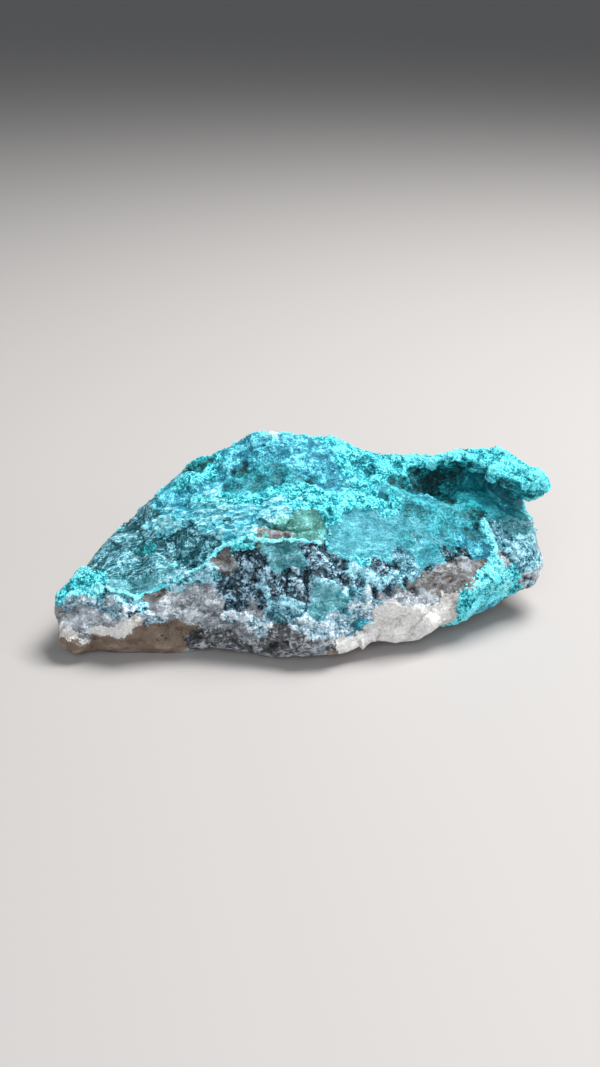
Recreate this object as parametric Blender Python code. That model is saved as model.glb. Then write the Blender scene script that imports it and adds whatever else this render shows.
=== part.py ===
"""Chrysocolla hand specimen: one broken lump of copper-silicate crust, quartz and clay.

The lump is one solid. Its skin is lofted between lengthwise lines that follow the features of the
rock: the toe it stands on, the lip above it, the blue vein, the ledge, the crest and the hidden back.
Knobs are then joined on, hollows cut out, and the skin is broken up with fracture facets and grain.
Sizes in the tables are millimetres, with X along the lump, +Y away from its face and +Z up.
"""

import itertools
import math

import bmesh
import bpy
import numpy as np
from mathutils import Euler, Matrix, Vector, noise

MM = 0.001

# Driving sizes, in millimetres.
LENGTH = 68.0
BASE_PLANE = 0.0
SKIN_GRAIN = 0.5
RIB_STEPS = 8
RING_STEPS = 6
TRIANGLES = 9600

# The stone's name as a piece, its colour in linear light and its surface.
NODE = "chrysocolla_specimen"
STONE_COLOUR = (0.13, 0.40, 0.43)
STONE_ROUGHNESS = 0.5

# Lengthwise lines, each from the left tip to the right tip, in order round the body.
LINES = {
    "toe": [
        (-30.6, -16.4, 0.4), (-24.0, -17.0, 0.0), (-19.5, -16.5, 0.0), (-14.5, -16.0, 0.6), (-9.0, -16.6, 0.6),
        (-5.0, -17.6, 0.2), (0.0, -17.5, 0.0), (4.5, -16.5, 0.0), (10.0, -14.5, 1.0), (17.0, -13.0, 1.2),
        (22.0, -10.5, 1.6), (27.5, -7.0, 2.6), (32.0, -4.0, 4.5),
    ],
    "under": [
        (-31.2, -16.2, 2.2), (-24.5, -17.0, 4.0), (-19.5, -16.6, 5.6), (-14.0, -16.5, 5.0), (-8.5, -16.6, 3.6),
        (-4.5, -18.0, 2.4), (0.0, -18.6, 1.8), (4.5, -18.0, 1.8), (10.0, -15.6, 2.0), (16.5, -14.4, 2.4),
        (22.0, -11.5, 2.8), (27.5, -8.0, 4.0), (32.6, -4.5, 5.5),
    ],
    "lip": [
        (-31.4, -17.2, 3.0), (-24.5, -19.0, 4.5), (-19.5, -18.5, 6.4), (-14.0, -18.5, 6.0), (-8.5, -18.0, 4.6),
        (-4.5, -18.6, 4.0), (0.0, -19.0, 3.6), (4.5, -18.5, 3.6), (10.0, -16.5, 4.0), (16.5, -15.0, 4.0),
        (22.0, -12.0, 4.2), (27.5, -8.6, 5.4), (33.2, -4.5, 6.4),
    ],
    "cheek": [
        (-32.2, -16.2, 5.0), (-25.0, -18.0, 7.2), (-19.5, -17.5, 8.0), (-14.0, -17.0, 8.6), (-9.0, -15.8, 8.4),
        (-4.0, -17.0, 9.0), (0.5, -18.0, 8.6), (6.0, -17.2, 8.0), (11.0, -16.0, 8.0), (16.5, -14.6, 7.6),
        (22.5, -12.0, 7.4), (28.0, -8.4, 8.0), (34.6, -3.0, 7.6),
    ],
    "vein": [
        (-32.0, -14.4, 7.2), (-25.0, -15.5, 9.4), (-20.0, -15.0, 9.4), (-14.5, -14.0, 11.6), (-9.5, -13.0, 14.4),
        (-4.5, -13.0, 15.4), (0.5, -13.5, 15.2), (6.0, -13.0, 13.6), (12.0, -12.5, 12.2), (17.0, -11.5, 11.8),
        (22.5, -9.0, 10.8), (27.5, -7.0, 10.6), (33.4, -3.0, 9.8),
    ],
    "panel": [
        (-31.4, -12.4, 8.2), (-26.0, -11.6, 10.4), (-20.0, -11.2, 12.0), (-14.5, -10.4, 14.4), (-9.5, -10.0, 17.0),
        (-4.0, -10.6, 17.2), (1.0, -11.0, 17.0), (6.5, -10.2, 15.8), (12.0, -9.2, 14.8), (17.5, -8.0, 14.4),
        (23.0, -5.0, 12.4), (28.0, -4.6, 12.0), (32.2, -2.0, 11.4),
    ],
    "ledge": [
        (-31.2, -11.0, 8.4), (-26.5, -9.0, 10.6), (-20.5, -7.2, 13.6), (-15.0, -6.6, 17.0), (-9.0, -7.6, 18.6),
        (-4.0, -8.0, 19.0), (1.5, -8.5, 18.6), (6.5, -7.2, 17.6), (12.0, -6.2, 17.2), (17.0, -5.0, 17.4),
        (22.5, -3.0, 15.4), (27.5, -3.0, 14.4), (31.4, -1.0, 13.0),
    ],
    "step": [
        (-31.3, -10.0, 8.2), (-27.0, -8.0, 10.6), (-21.5, -5.6, 13.8), (-17.0, -4.2, 17.8), (-10.5, -4.6, 19.2),
        (-4.5, -5.0, 19.6), (1.5, -5.4, 19.4), (7.0, -4.0, 18.6), (12.0, -3.0, 18.6), (17.0, -2.4, 18.6),
        (22.5, -1.6, 17.6), (28.0, -1.6, 16.2), (31.2, 0.0, 14.2),
    ],
    "brow": [
        (-31.4, -9.4, 7.8), (-27.5, -7.5, 10.4), (-22.5, -4.6, 13.8), (-18.0, -3.0, 18.0), (-12.0, -2.2, 20.4),
        (-5.0, -2.0, 22.6), (1.5, -2.0, 21.6), (7.0, 0.0, 20.0), (12.5, 1.0, 19.2), (18.0, 1.0, 19.6),
        (23.5, 0.6, 20.0), (28.5, 1.0, 19.0), (34.4, 1.5, 16.4),
    ],
    "crest": [
        (-31.5, -9.0, 7.6), (-27.5, -7.0, 10.2), (-23.0, -4.0, 13.6), (-19.5, -2.0, 16.6), (-13.0, 0.0, 21.0),
        (-5.0, 2.0, 25.0), (0.5, 3.0, 23.4), (6.5, 4.0, 21.6), (13.0, 5.0, 20.0), (19.0, 5.4, 20.2),
        (25.0, 5.0, 21.0), (29.3, 4.0, 21.2), (33.0, 3.0, 18.8),
    ],
    "shoulder": [
        (-31.0, -6.0, 6.2), (-27.0, -1.5, 8.8), (-22.5, 3.0, 12.0), (-17.5, 5.5, 15.6), (-12.0, 7.5, 18.2),
        (-5.0, 9.0, 20.0), (1.0, 10.0, 18.4), (7.0, 10.5, 17.0), (13.0, 11.0, 15.6), (19.0, 11.2, 15.0),
        (25.0, 10.6, 16.0), (28.6, 9.0, 16.0), (30.6, 6.4, 14.2),
    ],
    "back": [
        (-30.6, -5.0, 3.6), (-26.0, 1.5, 5.0), (-21.0, 7.0, 7.0), (-16.0, 10.5, 8.6), (-11.0, 12.8, 9.6),
        (-4.5, 14.2, 10.0), (1.5, 14.8, 9.4), (7.5, 15.0, 9.0), (13.5, 15.0, 8.6), (19.5, 14.0, 8.0),
        (25.0, 12.4, 8.6), (28.8, 10.4, 9.0), (31.0, 7.0, 9.8),
    ],
    "heel": [
        (-30.2, -6.0, 1.4), (-25.0, -0.5, 0.8), (-20.0, 4.5, 0.0), (-15.0, 8.0, 0.0), (-10.0, 10.0, 0.0),
        (-4.0, 11.5, 0.0), (2.0, 12.0, 0.0), (8.0, 12.0, 0.0), (14.0, 11.5, 0.2), (19.0, 10.5, 1.4),
        (24.0, 8.8, 3.0), (28.5, 7.0, 4.6), (32.0, 4.5, 6.2),
    ],
    "sole": [
        (-29.6, -11.5, 0.6), (-24.0, -9.0, 0.0), (-18.5, -6.0, -0.4), (-13.5, -4.0, -0.4), (-9.0, -3.0, -0.4),
        (-4.0, -3.0, -0.4), (1.0, -3.0, -0.4), (6.5, -2.5, -0.4), (12.5, -2.0, 0.2), (18.0, -1.5, 1.0),
        (23.0, -1.0, 2.2), (28.0, 0.0, 3.6), (31.6, 0.5, 5.4),
    ],
}


# Rounded masses that stand out of the skin: name, middle, radii and turn in degrees about X, Y and Z.
KNOBS = [
    ("upper knob", (29.4, 0.6, 18.6), (5.0, 4.4, 2.2), (-20, 16, 0)),
    ("knob tip", (32.0, 0.8, 17.2), (2.6, 3.2, 2.0), (-20, 24, 0)),
    ("lower knob", (31.2, -3.4, 7.2), (3.8, 4.4, 3.7), (0, 0, -20)),
    ("left nub", (-29.4, -16.4, 1.3), (2.4, 2.6, 1.5), (0, -10, 10)),
    ("left lobe", (-30.4, -16.4, 4.4), (2.2, 2.2, 1.6), (0, -10, 10)),
    ("tan foot", (-20.5, -16.2, 1.2), (7.0, 1.9, 2.6), (0, 0, 0)),
    ("keel", (1.5, -17.0, 3.8), (7.2, 2.8, 3.0), (0, 6, 0)),
    ("cream block", (14.0, -13.4, 4.6), (7.2, 3.4, 3.8), (0, -8, 14)),
    ("glassy column", (3.6, -15.6, 9.4), (2.0, 2.4, 4.4), (-24, 0, 0)),
    ("cave brow", (21.6, 3.4, 20.0), (5.6, 1.8, 1.0), (0, -8, -6)),
    ("crest lump", (-13.6, -0.4, 20.2), (2.2, 2.4, 1.6), (0, 0, 0)),
    ("crest top", (-4.6, 1.6, 24.0), (2.6, 2.4, 1.4), (0, 0, 0)),
    ("crest right", (5.0, 3.0, 21.6), (3.0, 2.4, 1.2), (0, 0, 0)),
]

# Rounded hollows cut into the skin, in the same form.
HOLLOWS = [
    ("cave", (19.4, -1.0, 18.0), (5.6, 5.8, 2.6), (-14, 3, 0)),
    ("cave back", (24.4, 0.0, 17.4), (3.4, 4.6, 2.3), (-10, 10, 0)),
    ("cave right", (28.4, -1.6, 15.6), (3.4, 4.4, 1.6), (-10, 18, 0)),
    ("notch", (34.4, 4.0, 13.2), (3.6, 14.0, 1.5), (0, 8, 0)),
    ("gully", (23.6, -7.6, 13.4), (2.6, 3.4, 5.0), (-34, -14, 0)),
    ("fluted hollow", (-8.2, -17.4, 9.6), (2.8, 2.6, 3.2), (-12, 16, 0)),
    ("quartz hollow", (-0.4, -18.2, 11.0), (2.2, 2.4, 2.4), (0, 0, 0)),
    ("upper pit", (-4.0, -6.6, 21.2), (4.8, 2.4, 1.3), (36, 2, 0)),
    ("side pit", (4.6, -4.6, 20.8), (2.2, 1.4, 1.2), (36, 6, 0)),
    ("left pit", (-11.2, -5.4, 20.0), (1.8, 1.4, 1.2), (30, 0, 0)),
    ("panel hollow", (-18.0, -13.8, 13.8), (5.4, 2.4, 3.0), (-30, -20, 0)),
    ("lip undercut", (-18.8, -19.8, 3.2), (9.6, 2.8, 2.2), (0, -7, 0)),
    ("keel undercut", (-7.0, -20.0, 2.4), (4.0, 2.4, 1.4), (0, 4, 0)),
    ("right undercut", (20.0, -14.6, 1.0), (7.0, 3.4, 1.6), (0, -12, 28)),
]

# Flat faces broken or grown on the skin: name, middle, the way it faces and its radius.
# The skin that stands in front of the plane is taken off.
FACES = [
    ("lower panel", (-20.2, -12.6, 10.8), (-0.10, -0.80, 0.58), 4.5),
    ("upper panel", (-14.6, -10.0, 14.1), (-0.30, -0.78, 0.52), 4.5),
    ("teal face", (12.0, -8.7, 14.6), (0.10, -0.55, 0.83), 6.5),
    ("teal face left", (5.6, -10.4, 15.2), (-0.15, -0.62, 0.77), 4.0),
    ("quartz face", (-1.4, -13.9, 13.4), (-0.05, -0.93, 0.36), 3.2),
    ("cream front", (13.4, -15.9, 4.6), (0.05, -0.97, 0.20), 3.4),
    ("cream right", (18.6, -14.2, 6.0), (0.42, -0.82, 0.38), 3.6),
    ("cream left", (9.0, -16.3, 5.0), (-0.40, -0.85, 0.34), 2.6),
    ("slab", (18.6, -11.6, 9.2), (0.14, -0.72, 0.68), 4.5),
    ("tan face", (-19.8, -17.2, 1.6), (0.02, -0.99, -0.14), 4.5),
    ("tan face left", (-25.4, -17.0, 1.6), (-0.18, -0.98, -0.10), 3.0),
    ("knob face", (30.4, -6.2, 8.6), (0.42, -0.86, 0.30), 4.0),
    ("knob side", (33.4, -2.6, 8.4), (0.88, -0.40, 0.26), 3.0),
    ("peak face", (-4.4, -3.0, 22.0), (0.02, -0.86, 0.52), 4.0),
    ("peak left", (-9.6, -2.8, 20.8), (-0.42, -0.66, 0.62), 3.6),
    ("peak right", (2.8, -2.2, 20.6), (0.34, -0.74, 0.58), 3.6),
    ("pale face", (-13.4, -16.4, 8.0), (-0.08, -0.92, 0.38), 4.0),
    ("left shelf", (-28.6, -12.4, 8.6), (-0.30, -0.25, 0.92), 3.0),
    ("left cheek", (-26.0, -16.6, 6.6), (-0.22, -0.88, 0.42), 3.6),
    ("column face", (3.6, -16.8, 8.8), (0.18, -0.90, 0.38), 2.2),
    ("knob top", (30.0, 1.0, 20.2), (0.30, -0.20, 0.93), 3.0),
    ("back left", (-17.0, 8.6, 10.0), (-0.55, 0.74, 0.38), 7.0),
    ("back middle", (-3.0, 12.2, 12.0), (-0.05, 0.88, 0.47), 8.0),
    ("back right", (12.0, 13.4, 10.0), (0.12, 0.93, 0.34), 8.0),
    ("back end", (26.0, 10.8, 11.0), (0.55, 0.78, 0.28), 6.0),
    ("peak back", (-4.0, 6.0, 22.0), (-0.10, 0.52, 0.85), 5.0),
    ("crest back", (12.0, 8.2, 18.0), (0.05, 0.50, 0.86), 6.0),
]

# Ridges (+) and grooves (-) that run over the skin: name, half width, height and the points passed through.
TRACES = [
    ("vein", 0.7, 0.5, [
        (-31.6, -12.8, 7.0), (-29.0, -15.0, 8.0), (-25.8, -14.6, 9.2), (-22.0, -15.4, 9.2), (-18.6, -15.2, 9.4),
        (-16.3, -14.6, 10.2), (-13.6, -13.8, 11.4), (-11.8, -13.4, 12.3), (-8.8, -12.8, 14.5), (-6.5, -12.4, 15.0),
        (-2.5, -12.8, 15.2), (2.6, -13.0, 15.0),
    ]),
    ("lip", 0.7, 0.6, [
        (-30.6, -17.6, 4.2), (-28.4, -17.6, 3.2), (-24.6, -17.4, 3.8), (-19.7, -17.6, 6.3), (-17.0, -17.2, 5.7),
        (-13.5, -17.2, 5.4), (-8.8, -17.0, 4.4), (-4.5, -18.4, 4.2), (-2.1, -18.8, 4.2),
    ]),
    ("ledge", 0.9, 0.6, [
        (-20.0, -5.7, 14.8), (-16.0, -6.8, 16.4), (-11.9, -7.7, 17.8), (-7.9, -8.6, 18.3), (-3.9, -9.2, 18.3),
        (0.0, -8.8, 18.2), (4.0, -7.4, 18.2), (8.0, -6.6, 17.6),
    ]),
    ("terrace", 0.8, 0.5, [
        (-13.5, -4.3, 18.7), (-9.4, -5.4, 19.0), (-5.0, -7.0, 18.9), (0.0, -6.4, 19.0), (4.0, -5.4, 19.2),
    ]),
    ("cave rim", 0.9, 0.5, [(17.2, 2.0, 20.2), (19.7, 2.6, 20.4), (22.3, 2.4, 20.6), (25.1, 1.2, 20.4)]),
    ("knob edge", 0.7, 0.5, [(25.2, -0.6, 19.4), (27.0, -2.4, 19.2), (28.7, -3.2, 18.6), (30.7, -3.1, 17.6)]),
    ("flute a", 0.5, -0.8, [(-10.1, -14.5, 11.5), (-10.1, -16.4, 8.0)]),
    ("flute b", 0.5, -0.8, [(-8.4, -14.4, 11.7), (-8.4, -16.2, 7.6)]),
    ("flute c", 0.5, -0.8, [(-6.8, -14.6, 12.0), (-6.6, -16.6, 7.6)]),
    ("crevice", 0.7, -1.2, [(2.1, -13.5, 15.0), (1.9, -14.6, 13.5), (1.8, -15.6, 11.6), (1.6, -16.4, 9.8)]),
    ("right vein", 0.8, 0.6, [(25.8, -3.4, 14.0), (26.2, -5.4, 12.1), (26.6, -7.8, 9.6), (27.8, -8.3, 6.1)]),
    ("face foot", 0.8, -0.6, [
        (5.2, -13.2, 13.2), (9.1, -12.6, 12.6), (13.1, -12.0, 12.0), (18.5, -10.6, 11.0), (23.4, -7.4, 10.2),
    ]),
    ("cream top", 0.7, -0.6, [(8.8, -16.0, 8.7), (11.4, -15.4, 8.5), (14.3, -15.4, 8.0), (17.8, -14.0, 8.0)]),
]


def catmull_rom(a, b, c, d, t, pull):
    """Point on the curve from b to c at t, with the slope scaled by pull."""
    m0 = (c - a) * (0.5 * pull)
    m1 = (d - b) * (0.5 * pull)
    t2, t3 = t * t, t * t * t
    return b * (2 * t3 - 3 * t2 + 1) + m0 * (t3 - 2 * t2 + t) + c * (3 * t2 - 2 * t3) + m1 * (t3 - t2)


def open_curve(points, steps, pull=1.0):
    """Points read from a smooth curve through an open line."""
    ends = [points[0] * 2 - points[1], *points, points[-1] * 2 - points[-2]]
    made = []
    for i in range(len(points) - 1):
        made += [catmull_rom(*ends[i:i + 4], s / steps, pull) for s in range(steps)]
    return made + [points[-1]]


def closed_curve(points, steps, pull=0.55):
    """Points read from a closed ring. A pull under 1 keeps its corners."""
    n = len(points)
    made = []
    for i in range(n):
        corners = [points[(i + k - 1) % n] for k in range(4)]
        made += [catmull_rom(*corners, s / steps, pull) for s in range(steps)]
    return made


def new_mesh(name, bm):
    mesh = bpy.data.meshes.new(name)
    bm.to_mesh(mesh)
    bm.free()
    return mesh


def new_object(name, bm):
    obj = bpy.data.objects.new(name, new_mesh(name, bm))
    bpy.context.scene.collection.objects.link(obj)
    return obj


def loft_skin():
    """The closed skin between the lengthwise lines, with both tips rounded off."""
    lines = [open_curve([Vector(p) for p in line], RIB_STEPS) for line in LINES.values()]
    rings = [closed_curve(list(ring), RING_STEPS) for ring in zip(*lines)]
    bm = bmesh.new()
    loops = [[bm.verts.new(p * MM) for p in ring] for ring in rings]
    for near, far in zip(loops, loops[1:]):
        for i in range(len(near)):
            j = (i + 1) % len(near)
            bm.faces.new((near[i], near[j], far[j], far[i]))
    for loop, side in ((loops[0], -1), (loops[-1], 1)):
        middle = sum((v.co for v in loop), Vector()) / len(loop)
        inner = [bm.verts.new(middle.lerp(v.co, 0.6) + Vector((side * 0.9 * MM, 0, 0))) for v in loop]
        tip = bm.verts.new(middle + Vector((side * 1.2 * MM, 0, 0)))
        for i in range(len(loop)):
            j = (i + 1) % len(loop)
            bm.faces.new((loop[i], loop[j], inner[j], inner[i]))
            bm.faces.new((inner[i], inner[j], tip))
    bmesh.ops.recalc_face_normals(bm, faces=bm.faces)
    return new_mesh("skin", bm)


def blob(name, middle, radii, turn, bumps=0.10):
    """A lumpy ellipsoid, turned by degrees about X, Y and Z. It is a knob to join on or a hollow to cut."""
    bm = bmesh.new()
    bmesh.ops.create_icosphere(bm, subdivisions=4, radius=1.0)
    for v in bm.verts:
        v.co *= 1 + bumps * noise.noise(v.co * 2.3 + Vector(middle))
    size = Matrix.Diagonal(Vector(radii) * MM).to_4x4()
    angle = Euler([math.radians(a) for a in turn]).to_matrix().to_4x4()
    bm.transform(Matrix.Translation(Vector(middle) * MM) @ angle @ size)
    return new_mesh(name, bm)


def even_faces(obj):
    """Adds the modifier that gives a body even small faces, and makes overlapping bodies one."""
    modifier = obj.modifiers.new("even faces", "REMESH")
    modifier.mode = "VOXEL"
    modifier.voxel_size = SKIN_GRAIN * MM


def cut(obj, tool):
    """Adds the modifier that cuts the other object out of this one."""
    tool.hide_render = True
    tool.display_type = "WIRE"
    modifier = obj.modifiers.new(tool.name, "BOOLEAN")
    modifier.operation = "DIFFERENCE"
    modifier.object = tool
    modifier.solver = "EXACT"


def settle(obj, name):
    """A plain mesh object of what the modifiers make, in place of the object."""
    graph = bpy.context.evaluated_depsgraph_get()
    mesh = bpy.data.meshes.new_from_object(obj.evaluated_get(graph))
    bpy.data.objects.remove(obj)
    made = bpy.data.objects.new(name, mesh)
    bpy.context.scene.collection.objects.link(made)
    return made


def gather(name, meshes):
    """One body of several closed meshes that overlap."""
    bm = bmesh.new()
    for mesh in meshes:
        bm.from_mesh(mesh)
    obj = new_object(name, bm)
    even_faces(obj)
    return settle(obj, name)


def carve():
    """The lofted skin with the knobs joined on and the hollows cut out."""
    masses = gather("masses", [loft_skin()] + [blob(*row) for row in KNOBS])
    hollows = gather("hollows", [blob(*row) for row in HOLLOWS])
    cut(masses, hollows)
    even_faces(masses)
    lump = settle(masses, "carved")
    bpy.data.objects.remove(hollows)
    return lump


def read(mesh, what):
    """The positions in millimetres, or the normals, of a mesh as an array."""
    flat = np.empty(len(mesh.vertices) * 3, np.float32)
    mesh.vertices.foreach_get(what, flat)
    return flat.reshape(-1, 3).astype(np.float64) / (MM if what == "co" else 1)


def write(mesh, points):
    mesh.vertices.foreach_set("co", (points * MM).astype(np.float32).ravel())
    mesh.update()


def falloff(distance, radius):
    """1 in the middle, 0 from the radius on, with a soft shoulder between."""
    t = np.clip(4 - 4 * distance / radius, 0, 1)
    return t * t * (3 - 2 * t)


def flatten(mesh):
    """Takes the skin in front of each of the FACES off. Gives how calm each point is afterwards, 0 to 1."""
    points = read(mesh, "co")
    normals = read(mesh, "normal")
    calm = np.zeros(len(points))
    ragged = 1 + 0.6 * np.array([noise.noise(Vector(p) / 2.6) for p in points])
    for name, middle, facing, radius in FACES:
        facing = np.array(facing, float) / np.linalg.norm(facing)
        away = points - np.array(middle)
        height = away @ facing
        across = np.sqrt(np.maximum((away ** 2).sum(axis=1) - height ** 2, 0))
        reach = falloff(across * ragged, radius) * (normals @ facing > 0.2) * (height > -0.3)
        points -= np.outer(np.clip(height, 0, 2.0) * reach, facing)
        calm = np.maximum(calm, reach)
    write(mesh, points)
    return calm


def trace(mesh):
    """Raises the ridges and sinks the grooves of TRACES."""
    points = read(mesh, "co")
    normals = read(mesh, "normal")
    for name, half_width, height, line in TRACES:
        line = np.array(open_curve([Vector(p) for p in line], 6))
        gap = np.linalg.norm(points[:, None, :] - line[None, :, :], axis=2).min(axis=1)
        points += normals * (height * np.exp(-(gap / half_width) ** 2))[:, None]
    write(mesh, points)


def shards(points, size, seed):
    """The number of the shard each point lies in. Shards are the cells round a jittered grid of points."""
    jitter = np.random.default_rng(seed).random((32, 32, 32, 3))
    cell = np.floor(points / size).astype(int)
    nearest = np.full(len(points), np.inf)
    owner = cell.copy()
    for step in itertools.product((-1, 0, 1), repeat=3):
        home = cell + step
        wrapped = home % 32
        seat = (home + jitter[wrapped[:, 0], wrapped[:, 1], wrapped[:, 2]]) * size
        gap = ((points - seat) ** 2).sum(axis=1)
        closer = gap < nearest
        nearest[closer] = gap[closer]
        owner[closer] = home[closer]
    return np.unique(owner, axis=0, return_inverse=True)[1].ravel()


def fracture(mesh, size, flatness, step, seed, weight):
    """Breaks the skin into facets: each shard is drawn towards its own plane and set in or out a little."""
    points = read(mesh, "co")
    normals = read(mesh, "normal")
    shard = shards(points, np.array(size), seed)
    count = np.bincount(shard)[:, None]
    middle = np.stack([np.bincount(shard, points[:, k]) for k in range(3)], axis=1) / count
    facing = np.stack([np.bincount(shard, normals[:, k]) for k in range(3)], axis=1) / count
    facing /= np.linalg.norm(facing, axis=1)[:, None] + 1e-9
    height = ((points - middle[shard]) * facing[shard]).sum(axis=1)
    lift = np.random.default_rng(seed + 100).uniform(-step, step, len(count))[shard]
    move = np.clip(lift - flatness * height, -0.8, 0.8) * weight
    write(mesh, points + facing[shard] * move[:, None])


def grain(mesh, size, height, weight):
    """Rough grain along the skin's own normals."""
    points = read(mesh, "co")
    rise = np.array([noise.fractal(Vector(p) / size, 1.0, 2.0, 3) for p in points]) * height * weight
    write(mesh, points + read(mesh, "normal") * rise[:, None])


def stand_flat(lump):
    """Thins the mesh out and cuts the underside off flat where the lump rests."""
    thin = lump.modifiers.new("thin out", "DECIMATE")
    thin.ratio = TRIANGLES / sum(len(f.vertices) - 2 for f in lump.data.polygons)
    thin.use_collapse_triangulate = True
    bm = bmesh.new()
    bmesh.ops.create_cube(bm, size=1.0)
    bm.transform(Matrix.Translation((0, 0, (BASE_PLANE - 5) * MM)) @ Matrix.Diagonal((0.2, 0.2, 10 * MM, 1)))
    table = new_object("table", bm)
    cut(lump, table)
    lump = settle(lump, NODE)
    bpy.data.objects.remove(table)
    return lump


def centre_on_base(obj):
    """Moves the mesh so that the origin is under the middle of the lump, on the surface it stands on."""
    points = read(obj.data, "co")
    low, high = points.min(axis=0), points.max(axis=0)
    shift = np.array([(low[0] + high[0]) / 2, (low[1] + high[1]) / 2, low[2]])
    write(obj.data, points - shift)
    print("moved by", *shift.round(3), "size", *(high - low).round(2), "mm", len(obj.data.polygons), "faces")


def stone():
    """The stone's overall colour and surface: a blue-green copper silicate with a dull glassy skin."""
    material = bpy.data.materials.new("chrysocolla_stone")
    material.use_nodes = True
    shader = material.node_tree.nodes["Principled BSDF"]
    shader.inputs["Base Color"].default_value = (*STONE_COLOUR, 1)
    shader.inputs["Roughness"].default_value = STONE_ROUGHNESS
    shader.inputs["Metallic"].default_value = 0.0
    return material


def main():
    for obj in list(bpy.data.objects):
        bpy.data.objects.remove(obj)
    lump = carve()
    calm = flatten(lump.data)
    trace(lump.data)
    rough = 1 - 0.8 * calm
    fracture(lump.data, size=(7.5, 4.5, 4.5), flatness=0.8, step=0.42, seed=3, weight=rough)
    fracture(lump.data, size=(3.2, 2.4, 2.4), flatness=0.7, step=0.30, seed=8, weight=rough)
    grain(lump.data, size=2.2, height=0.22, weight=rough)
    even_faces(lump)
    lump = stand_flat(settle(lump, "broken"))
    centre_on_base(lump)
    lump.data.materials.clear()
    lump.data.materials.append(stone())


main()
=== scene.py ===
# %% [markdown]
# # A chrysocolla hand specimen
# Chrysocolla is a blue-green copper silicate. On this specimen it lies as a crust and as silky layers over
# grey quartz, with a block of cream feldspar and a tan clay face below. The packed solid gives the stone's
# form. This lesson gives it its broken skin, its minerals and its finish, one cell at a time.

# %% Load the stone's solid as the frame
import itertools
import math

import bmesh
import bpy
import numpy as np
from mathutils import Matrix, Vector, noise
from mathutils.bvhtree import BVHTree


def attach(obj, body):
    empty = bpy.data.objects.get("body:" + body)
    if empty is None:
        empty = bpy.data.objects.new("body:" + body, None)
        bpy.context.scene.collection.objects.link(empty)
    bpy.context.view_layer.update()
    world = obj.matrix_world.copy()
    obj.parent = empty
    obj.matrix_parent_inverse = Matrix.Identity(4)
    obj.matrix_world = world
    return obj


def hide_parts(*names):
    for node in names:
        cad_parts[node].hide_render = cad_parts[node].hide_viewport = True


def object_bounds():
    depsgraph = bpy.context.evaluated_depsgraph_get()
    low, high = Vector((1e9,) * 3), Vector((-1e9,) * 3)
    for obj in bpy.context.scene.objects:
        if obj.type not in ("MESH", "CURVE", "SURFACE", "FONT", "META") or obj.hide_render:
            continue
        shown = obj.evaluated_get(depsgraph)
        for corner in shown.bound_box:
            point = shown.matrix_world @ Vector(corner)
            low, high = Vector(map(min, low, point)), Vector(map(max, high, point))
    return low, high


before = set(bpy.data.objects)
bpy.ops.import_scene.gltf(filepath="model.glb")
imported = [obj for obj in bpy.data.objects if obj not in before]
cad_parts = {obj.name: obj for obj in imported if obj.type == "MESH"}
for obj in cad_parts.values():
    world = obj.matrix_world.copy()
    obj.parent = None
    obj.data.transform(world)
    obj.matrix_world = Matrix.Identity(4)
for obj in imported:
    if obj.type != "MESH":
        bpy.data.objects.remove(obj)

cad_low, cad_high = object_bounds()
noise.seed_set(7)
MM = 0.001
NODE = "chrysocolla_specimen"
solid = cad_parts[NODE]
print("solid:", [round(v / MM, 1) for v in cad_high - cad_low], "mm,", len(solid.data.polygons), "faces")

# %% [markdown]
# ## The viewpoint
# A stone of this size is looked at from a hand's breadth and a half away, a little from above. A camera that
# close sees strong perspective, so its distance matters as much as its lens. The camera could also be aimed
# with a Track To constraint, but a plain position and a tilt are easier to read back.

# %% Place the camera
VIEW_SIZE = (600, 1067)
FOCAL_PIXELS = 1200
TILT = math.radians(26)
CAMERA_AT = Vector((-1.16, -149.48, 84.09))


def make_camera():
    """A camera at CAMERA_AT, tilted down by TILT, whose lens spreads FOCAL_PIXELS over the picture's height."""
    data = bpy.data.cameras.new("camera")
    data.sensor_fit = "AUTO"
    data.sensor_width = 36
    data.lens = 36 * FOCAL_PIXELS / VIEW_SIZE[1]
    data.clip_start, data.clip_end = 0.01, 20
    camera = bpy.data.objects.new("camera", data)
    camera.location = CAMERA_AT * MM
    camera.rotation_euler = (math.pi / 2 - TILT, 0, 0)
    bpy.context.scene.collection.objects.link(camera)
    return camera


bpy.context.scene.camera = make_camera()
print("camera lens", round(bpy.context.scene.camera.data.lens, 2), "mm")


def sight_line(u, v):
    """The direction in which the camera sees the point u, v of its picture, counted from the top left."""
    across = (u - VIEW_SIZE[0] / 2) / FOCAL_PIXELS
    down = (v - VIEW_SIZE[1] / 2) / FOCAL_PIXELS
    ahead = Vector((0, math.cos(TILT), -math.sin(TILT)))
    up = Vector((0, math.sin(TILT), math.cos(TILT)))
    return (ahead + Vector((across, 0, 0)) - up * down).normalized()


# %% [markdown]
# ## The floor and the light
# The floor is plain and pale. The light is a big soft box above and behind the stone, a little to its right,
# with weak light from the room for the shaded face. One small hard lamp would give black shadows; a box about
# four times as wide as the stone gives the soft shadow of a window.

# %% Lay the floor and hang the lights
def make_floor():
    mesh = bpy.data.meshes.new("floor")
    half = 3.0
    mesh.from_pydata([(-half, -half, 0), (half, -half, 0), (half, half, 0), (-half, half, 0)], [], [(0, 1, 2, 3)])
    floor = bpy.data.objects.new("floor", mesh)
    bpy.context.scene.collection.objects.link(floor)
    material = bpy.data.materials.new("pale_floor")
    material.use_nodes = True
    shader = material.node_tree.nodes["Principled BSDF"]
    shader.inputs["Base Color"].default_value = (0.40, 0.385, 0.38, 1)
    shader.inputs["Roughness"].default_value = 0.6
    shader.inputs["Specular IOR Level"].default_value = 0.25
    mesh.materials.append(material)
    return floor


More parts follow.
